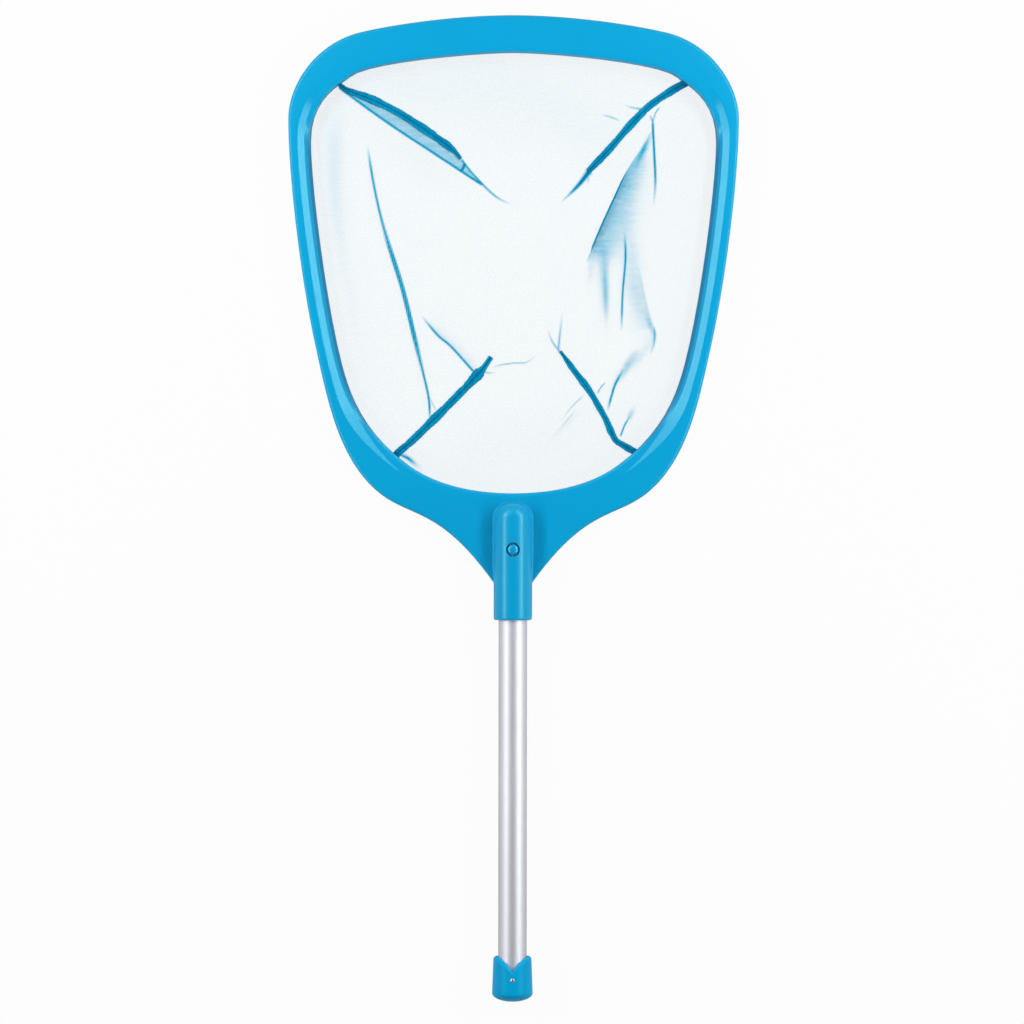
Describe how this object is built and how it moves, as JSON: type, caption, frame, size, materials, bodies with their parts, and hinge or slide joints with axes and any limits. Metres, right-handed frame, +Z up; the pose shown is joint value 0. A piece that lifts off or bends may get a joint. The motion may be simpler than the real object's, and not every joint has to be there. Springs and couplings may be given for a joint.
{
  "type": "pool leaf skimmer net",
  "caption": "Pool leaf skimmer with a wide moulded frame, a shallow fine mesh bag gathered by corner seams, and a tubular pole end locked into its socket by a spring button.",
  "frame": {"origin": "middle of the footprint, on the surface that the part lies on", "axes": "+Y along the pole from its end cap to the leading lip, +Z up out of the mouth of the bag, +X to the right"},
  "size_m": [0.395, 0.864, 0.0358],
  "materials": {
    "frame_blue": "satin moulded blue plastic",
    "cap_blue": "satin moulded blue plastic",
    "button_blue": "satin moulded blue plastic",
    "steel": "bright stainless steel",
    "pole_aluminium": "satin drawn tube",
    "plug_white": "matt moulded white plastic",
    "mesh": "fine pale mesh",
    "seam_thread": "overlocked blue thread",
    "tape": "woven white tape and cord"
  },
  "bodies": {
    "skimmer": {"head_frame": "frame_blue", "clamp_ring": "frame_blue", "clamp_screws": "steel", "hem_tape": "tape", "hem_cord": "tape", "net_bag": "mesh", "seam_top_left": "seam_thread", "seam_top_right": "seam_thread", "seam_bottom_left": "seam_thread", "seam_bottom_right": "seam_thread", "pole_tube": "pole_aluminium", "button_plug": "plug_white", "button_spring": "steel", "end_cap": "cap_blue", "cap_rivet": "steel", "rivet_mandrel": "steel"},
    "button": {"snap_button": "button_blue"}
  },
  "joints": [
    {"name": "button_press", "type": "slide", "parent": "skimmer", "child": "button", "axis": [0, 0, 1], "range_m": [-0.005, 0], "stiffness_N_per_m": 1500, "springref_m": 0.002, "deforming": ["button_spring"]}
  ]
}
